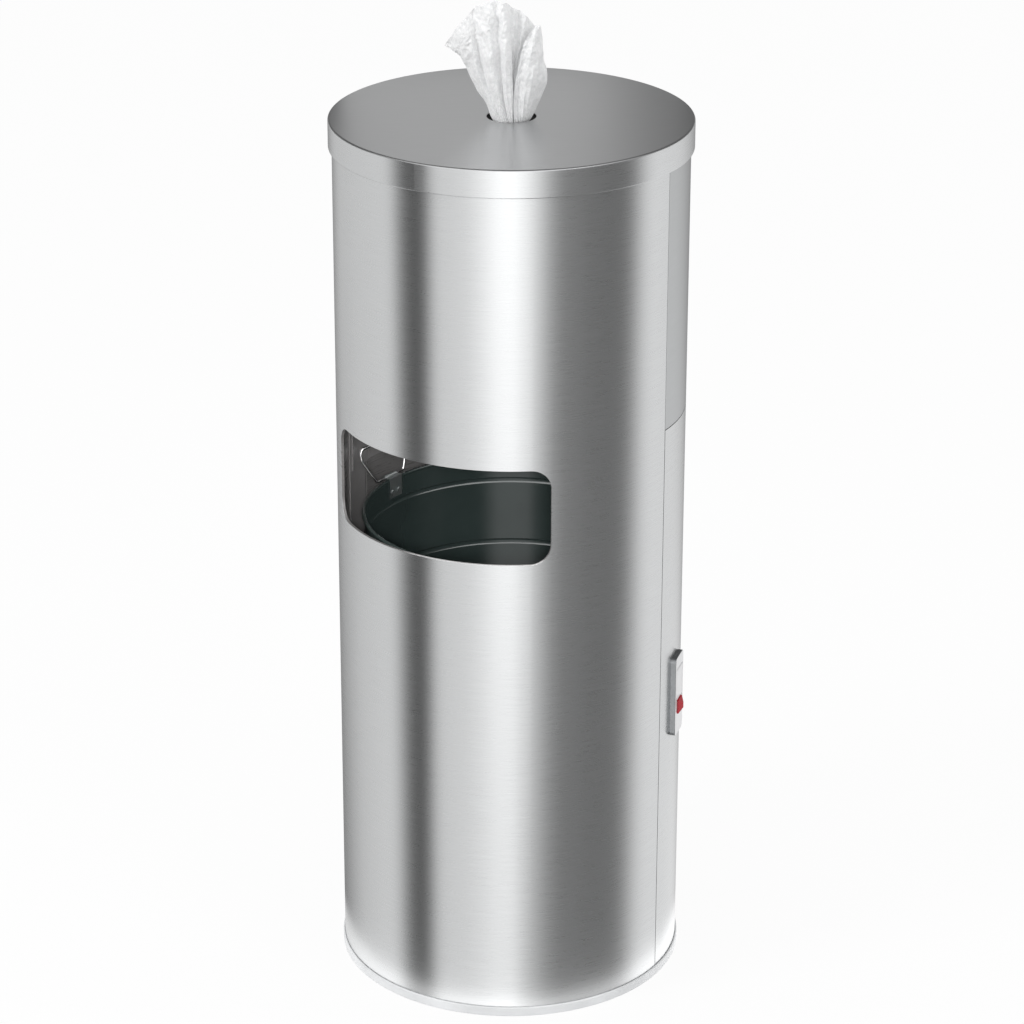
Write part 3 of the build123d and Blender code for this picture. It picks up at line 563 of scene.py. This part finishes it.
def from_to(share, first, second):
    mixed = nodes.new("ShaderNodeMix")
    mixed.data_type = "RGBA"
    links.new(share, mixed.inputs["Factor"])
    links.new(first, mixed.inputs["A"])
    if isinstance(second, tuple):
        mixed.inputs["B"].default_value = second
    else:
        links.new(second, mixed.inputs["B"])
    return mixed.outputs["Result"]


height = nodes.new("ShaderNodeSeparateXYZ")
links.new(way.outputs["Generated"], height.inputs["Vector"])
bands = from_to(share_of_height(-0.46, -0.32, False), ring_of_boxes(2), ring_of_boxes(1))
overhead = nodes.new("ShaderNodeValToRGB")
upper_ramp = overhead.color_ramp
for end in upper_ramp.elements:
    end.color = (0.13, 0.13, 0.13, 1)
for azimuth, level in ((-112, 0.13), (-78, 0.6), (-45, 1.15), (45, 1.15), (78, 0.6), (112, 0.13)):
    stop = upper_ramp.elements.new((azimuth + 180) / 360)
    stop.color = (level,) * 3 + (1,)
links.new(sweep.outputs["Fac"], overhead.inputs["Fac"])
zenith_dark = (0.1, 0.1, 0.1, 1)
upper = from_to(share_of_height(0.72, 0.92, True), overhead.outputs["Color"], zenith_dark)
sky = from_to(share_of_height(0.02, 0.22, True), bands, upper)
steel_light = nodes.new("ShaderNodeBackground")
links.new(sky, steel_light.inputs["Color"])
soft_light = nodes.new("ShaderNodeBackground")
soft_light.inputs["Color"].default_value = (1, 1, 1, 1)
soft_light.inputs["Strength"].default_value = 0.84
white_light = nodes.new("ShaderNodeBackground")
white_light.inputs["Color"].default_value = (1, 1, 1, 1)
white_light.inputs["Strength"].default_value = 1.0
path = nodes.new("ShaderNodeLightPath")
to_steel = nodes.new("ShaderNodeMixShader")
links.new(path.outputs["Is Glossy Ray"], to_steel.inputs["Fac"])
links.new(soft_light.outputs["Background"], to_steel.inputs[1])
links.new(steel_light.outputs["Background"], to_steel.inputs[2])
to_camera = nodes.new("ShaderNodeMixShader")
links.new(path.outputs["Is Camera Ray"], to_camera.inputs["Fac"])
links.new(to_steel.outputs["Shader"], to_camera.inputs[1])
links.new(white_light.outputs["Background"], to_camera.inputs[2])
out = nodes.new("ShaderNodeOutputWorld")
links.new(to_camera.outputs["Shader"], out.inputs["Surface"])

# A wide soft lamp stands close behind the lid and is seen by the steel only. It fades towards the
# right side, so the lid's even grey falls off there.


def steel_lamp(name, shape, width, height, turn_x, place, level, fade=()):
    data = bpy.data.lights.new(name, "AREA")
    data.shape = shape
    data.size = width
    data.size_y = height
    data.energy = level * math.pi * width * height
    if fade:
        data.use_nodes = True
        nodes, links = data.node_tree.nodes, data.node_tree.links
        across = nodes.new("ShaderNodeNewGeometry")
        split = nodes.new("ShaderNodeSeparateXYZ")
        ramp = nodes.new("ShaderNodeValToRGB")
        for share, strength in fade:
            stop = ramp.color_ramp.elements.new(share)
            stop.color = (strength,) * 3 + (1,)
        ramp.color_ramp.elements.remove(ramp.color_ramp.elements[0])
        ramp.color_ramp.elements.remove(ramp.color_ramp.elements[-1])
        links.new(across.outputs["Parametric"], split.inputs["Vector"])
        links.new(split.outputs["X"], ramp.inputs["Fac"])
        links.new(ramp.outputs["Color"], nodes["Emission"].inputs["Color"])
    lamp = bpy.data.objects.new(name, data)
    turned = Matrix.Rotation(facing, 4, "Z")
    lamp.matrix_world = turned @ Matrix.Translation(place) @ Matrix.Rotation(math.radians(turn_x), 4, "X")
    lamp.visible_camera = False
    lamp.visible_diffuse = False
    bpy.context.collection.objects.link(lamp)


lid_fade = ((0.01, 1.0), (0.63, 1.0), (0.73, 0.88), (0.82, 0.6), (0.9, 0.38), (0.99, 0.24))
steel_lamp("lid_lamp", "RECTANGLE", 0.356, 0.62, -90, (0.002, 0.26, lid_top + 0.33), 0.4, lid_fade)

# Close to the base the steel sees the pale floor, so the dark bands stop short of the ring.
# A round lamp just above the floor stands in for it.
steel_lamp("floor_lamp", "DISK", 0.412, 0.412, 180, (0, 0, 0.001), 0.56)

# Two small lamps give the dark bin its sheen: one hangs under the shelf and lights rim and beads,
# the other stands inside the bin's front and shows as the soft upright band on its far wall.
steel_lamp("shelf_lamp", "RECTANGLE", 0.22, 0.22, 0, (0, 0, 0.588), 3.0)
bin_fade = ((0.01, 0.0), (0.18, 0.25), (0.29, 1.0), (0.7, 1.0), (0.91, 0.12), (0.99, 0.0))
steel_lamp("bin_lamp", "RECTANGLE", 0.17, 0.26, 90, (-0.005, -0.09, 0.34), 0.72, bin_fade)

# Three soft lamps shape the matt pieces: a key high on the left, a weaker fill on the right and a
# small one low in front, aimed at the wipe. None shows in the steel, whose light is the ring.


def soft_lamp(name, place, aim, size, power):
    data = bpy.data.lights.new(name, "AREA")
    data.shape = "DISK"
    data.size = size
    data.energy = power
    lamp = bpy.data.objects.new(name, data)
    lamp.location = place
    lamp.rotation_euler = (Vector(aim) - Vector(place)).to_track_quat("-Z", "Y").to_euler()
    lamp.visible_glossy = False
    bpy.context.collection.objects.link(lamp)


soft_lamp("key_lamp", (-1.1, -2.0, 2.6), (0, 0, 0.75), 0.9, 34.0)
soft_lamp("low_lamp", (0.75, -1.5, 1.2), (0, 0, 0.95), 0.5, 1.4)
soft_lamp("fill_lamp", (2.2, -0.6, 1.9), (0, 0, 0.6), 1.2, 10.0)

# A narrow spot from beside the camera reaches the bin through the disposal opening. Without it
# the beads and the wire loop sink into the dark.
spot_data = bpy.data.lights.new("opening_spot", "SPOT")
spot_data.energy = 190.0
spot_data.spot_size = math.radians(9.0)
spot_data.spot_blend = 0.5
spot_data.shadow_soft_size = 0.12
spot = bpy.data.objects.new("opening_spot", spot_data)
spot.location = (1.2, -2.1, 1.45)
spot.rotation_euler = (Vector((-0.02, -0.1, 0.52)) - spot.location).to_track_quat("-Z", "Y").to_euler()
spot.visible_glossy = False
bpy.context.collection.objects.link(spot)

# The camera stands where the photograph was taken from: 30.6 degrees towards the latch side and
# well above the lid, with a long lens.
view_data = bpy.data.cameras.new("photo_camera")
view_data.sensor_width = 36.0
view_data.lens = 127.68
camera = bpy.data.objects.new("photo_camera", view_data)
camera.location = (1.7069, -2.8863, 1.8678)
camera.rotation_mode = "XYZ"
camera.rotation_euler = (math.radians(90 - 22.53), math.radians(-0.1), math.radians(30.62))
bpy.context.collection.objects.link(camera)
bpy.context.scene.camera = camera
bpy.context.scene.view_settings.view_transform = "Standard"
